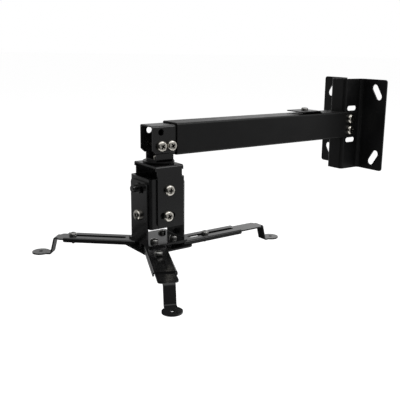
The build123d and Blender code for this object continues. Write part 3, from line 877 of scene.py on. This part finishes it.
def studio_tone(tree, direction):
    """Brightness of the surroundings, from the dark side round to the bright one."""
    bright_side = tree.nodes.new("ShaderNodeVectorMath")
    bright_side.operation = "DOT_PRODUCT"
    bright_side.inputs[1].default_value = BRIGHT_SIDE
    tree.links.new(direction, bright_side.inputs[0])
    ramp = tree.nodes.new("ShaderNodeValToRGB")
    ramp.color_ramp.interpolation = "EASE"
    while len(ramp.color_ramp.elements) < len(STUDIO_TONES):
        ramp.color_ramp.elements.new(0.5)
    for element, (place, tone) in zip(ramp.color_ramp.elements, STUDIO_TONES):
        element.position = place
        element.color = (tone, tone, tone, 1)
    half = combined(tree, "MULTIPLY", bright_side.outputs["Value"], 0.5)
    tree.links.new(combined(tree, "ADD", half, 0.5), ramp.inputs["Fac"])
    # Adding nothing turns the ramp's grey into a number
    return combined(tree, "ADD", ramp.outputs["Color"], 0.0)


def ray_kinds(tree):
    """Sockets that are 1 for camera rays, and for glossy and transmission rays."""
    path = tree.nodes.new("ShaderNodeLightPath")
    mirrored = combined(
        tree, "MAXIMUM", path.outputs["Is Glossy Ray"], path.outputs["Is Transmission Ray"]
    )
    return path.outputs["Is Camera Ray"], mirrored


def choose(tree, amount, first, second):
    """Value that runs from the first to the second as the amount goes from 0 to 1."""
    share = combined(tree, "MULTIPLY", second, amount)
    rest = combined(tree, "MULTIPLY", first, combined(tree, "SUBTRACT", 1.0, amount))
    return combined(tree, "ADD", share, rest)


def build_world():
    """Soft grey light on the object, and white behind it."""
    world = bpy.data.worlds.new("studio")
    bpy.context.scene.world = world
    world.use_nodes = True
    tree = world.node_tree
    background = next(node for node in tree.nodes if node.type == "BACKGROUND")
    background.inputs["Color"].default_value = (1, 1, 1, 1)
    direction = tree.nodes.new("ShaderNodeTexCoord").outputs["Generated"]
    camera, mirrored = ray_kinds(tree)
    strength = choose(tree, mirrored, SOFT_LIGHT, studio_tone(tree, direction))
    tree.links.new(choose(tree, camera, strength, 1.0), background.inputs["Strength"])


def faded(tree, value, span):
    """Smooth fall from 1 to 0 while the value goes through the span."""
    fade = tree.nodes.new("ShaderNodeMapRange")
    fade.interpolation_type = "SMOOTHSTEP"
    fade.inputs["From Min"].default_value, fade.inputs["From Max"].default_value = span
    fade.inputs["To Min"].default_value, fade.inputs["To Max"].default_value = 1.0, 0.0
    tree.links.new(value, fade.inputs["Value"])
    return fade.outputs["Result"]


def glow_under_mount(tree):
    """Floor's brightness in reflections: white below the mount on its -Y side, then fading."""
    place = tree.nodes.new("ShaderNodeTexCoord").outputs["Object"]
    reach = tree.nodes.new("ShaderNodeVectorMath")
    reach.operation = "DISTANCE"
    reach.inputs[1].default_value = (TOWER_X / 2, 0, 0)
    tree.links.new(place, reach.inputs[0])
    parts = tree.nodes.new("ShaderNodeSeparateXYZ")
    tree.links.new(place, parts.inputs[0])
    near = faded(tree, reach.outputs["Value"], FLOOR_GLOW_REACH)
    return combined(tree, "MULTIPLY", near, faded(tree, parts.outputs["Y"], FLOOR_GLOW_EDGE))


def build_floor(height):
    """Wide pale floor, lifted to white for the camera, that keeps a shadow."""
    deselect_all()
    bpy.ops.mesh.primitive_plane_add(size=FLOOR_SIZE, location=(0, 0, height))
    floor = added("floor")
    material = bpy.data.materials.new("pale_floor")
    material.use_nodes = True
    tree = material.node_tree
    tree.nodes.clear()
    output = tree.nodes.new("ShaderNodeOutputMaterial")
    matt = tree.nodes.new("ShaderNodeBsdfDiffuse")
    matt.inputs["Color"].default_value = FLOOR_GREY
    glow = tree.nodes.new("ShaderNodeEmission")
    outward = tree.nodes.new("ShaderNodeVectorMath")
    outward.operation = "NORMALIZE"
    tree.links.new(tree.nodes.new("ShaderNodeTexCoord").outputs["Object"], outward.inputs[0])
    camera, mirrored = ray_kinds(tree)
    tree.links.new(combined(tree, "MULTIPLY", camera, FLOOR_LIFT), glow.inputs["Strength"])
    lit = tree.nodes.new("ShaderNodeAddShader")
    tree.links.new(matt.outputs[0], lit.inputs[0])
    tree.links.new(glow.outputs[0], lit.inputs[1])
    reflected = tree.nodes.new("ShaderNodeEmission")
    tone = studio_tone(tree, outward.outputs["Vector"])
    brightest = combined(tree, "MAXIMUM", tone, glow_under_mount(tree))
    tree.links.new(brightest, reflected.inputs["Strength"])
    both = tree.nodes.new("ShaderNodeMixShader")
    tree.links.new(mirrored, both.inputs["Fac"])
    tree.links.new(lit.outputs[0], both.inputs[1])
    tree.links.new(reflected.outputs[0], both.inputs[2])
    tree.links.new(both.outputs[0], output.inputs["Surface"])
    floor.data.materials.append(material)


def add_lamp(name, target, offset_and_size, power):
    """Area lamp at an offset from its target, turned to it."""
    offset, size = offset_and_size
    deselect_all()
    bpy.ops.object.light_add(type="AREA", location=target + Vector(offset))
    lamp = bpy.context.object
    lamp.name = name
    lamp.data.size = size
    lamp.data.energy = power
    lamp.rotation_euler = (-Vector(offset)).to_track_quat("-Z", "Y").to_euler()


def add_camera(settings):
    """Camera at the photo's place and angle."""
    yaw, pitch, roll = settings.yaw, settings.pitch, settings.roll
    ahead = Vector((cos(pitch) * cos(yaw), cos(pitch) * sin(yaw), sin(pitch)))
    level = Vector((sin(yaw), -cos(yaw), 0))
    upright = level.cross(ahead)
    right = level * cos(roll) + upright * sin(roll)
    up = upright * cos(roll) - level * sin(roll)
    deselect_all()
    bpy.ops.object.camera_add(location=settings.camera_place)
    camera = bpy.context.object
    camera.name = "photo_view"
    camera.rotation_euler = Matrix((right, up, -ahead)).transposed().to_euler()
    camera.data.sensor_width = SENSOR_WIDTH
    camera.data.lens = settings.lens
    camera.data.shift_x, camera.data.shift_y = CAMERA_SHIFT
    camera.data.clip_start = CLIP_START
    bpy.context.scene.camera = camera


class MOUNT_OT_set_stage(bpy.types.Operator):
    """Add the floor, the lamps, the surroundings and the camera"""

    bl_idname = "mount.set_stage"
    bl_label = "Set Stage"

    def execute(self, context):
        settings = context.scene.mount_stage
        context.scene.view_settings.view_transform = "Standard"
        middle = (Vector(SOLID_BOX[0]) + Vector(SOLID_BOX[1])) / 2
        build_world()
        build_floor(SOLID_BOX[0][2] - settings.floor_drop)
        add_lamp("overhead_lamp", middle, OVERHEAD_LAMP, settings.key_power)
        add_lamp("right_lamp", middle, RIGHT_LAMP, settings.fill_power)
        add_camera(settings)
        return {"FINISHED"}


PROPERTY_GROUPS = (CoatSettings, ScrewSettings, StageSettings)
OPERATORS = (
    MOUNT_OT_coat_sheet_metal,
    MOUNT_OT_finish_hardware,
    MOUNT_OT_make_pan_screws,
    MOUNT_OT_make_lock_screws,
    MOUNT_OT_set_stage,
)


class MOUNT_PT_looks(bpy.types.Panel):
    """Panel in the sidebar with the mount's operators and settings"""

    bl_idname = "MOUNT_PT_looks"
    bl_label = "Projector Mount"
    bl_space_type = "VIEW_3D"
    bl_region_type = "UI"
    bl_category = "Mount"

    def draw(self, context):
        for operator in OPERATORS:
            self.layout.operator(operator.bl_idname)
        for settings in (
            context.scene.mount_coat,
            context.scene.mount_screws,
            context.scene.mount_stage,
        ):
            box = self.layout.box()
            for name in settings.__annotations__:
                box.prop(settings, name)


def register():
    for group in PROPERTY_GROUPS:
        bpy.utils.register_class(group)
    bpy.types.Scene.mount_coat = bpy.props.PointerProperty(type=CoatSettings)
    bpy.types.Scene.mount_screws = bpy.props.PointerProperty(type=ScrewSettings)
    bpy.types.Scene.mount_stage = bpy.props.PointerProperty(type=StageSettings)
    for operator in OPERATORS:
        bpy.utils.register_class(operator)
    bpy.utils.register_class(MOUNT_PT_looks)


def unregister():
    bpy.utils.unregister_class(MOUNT_PT_looks)
    for operator in reversed(OPERATORS):
        bpy.utils.unregister_class(operator)
    del bpy.types.Scene.mount_stage
    del bpy.types.Scene.mount_screws
    del bpy.types.Scene.mount_coat
    for group in reversed(PROPERTY_GROUPS):
        bpy.utils.unregister_class(group)


def main():
    register()
    bpy.ops.mount.coat_sheet_metal()
    bpy.ops.mount.finish_hardware()
    bpy.ops.mount.make_pan_screws()
    bpy.ops.mount.make_lock_screws()
    bpy.ops.mount.set_stage()


if __name__ == "__main__":
    main()
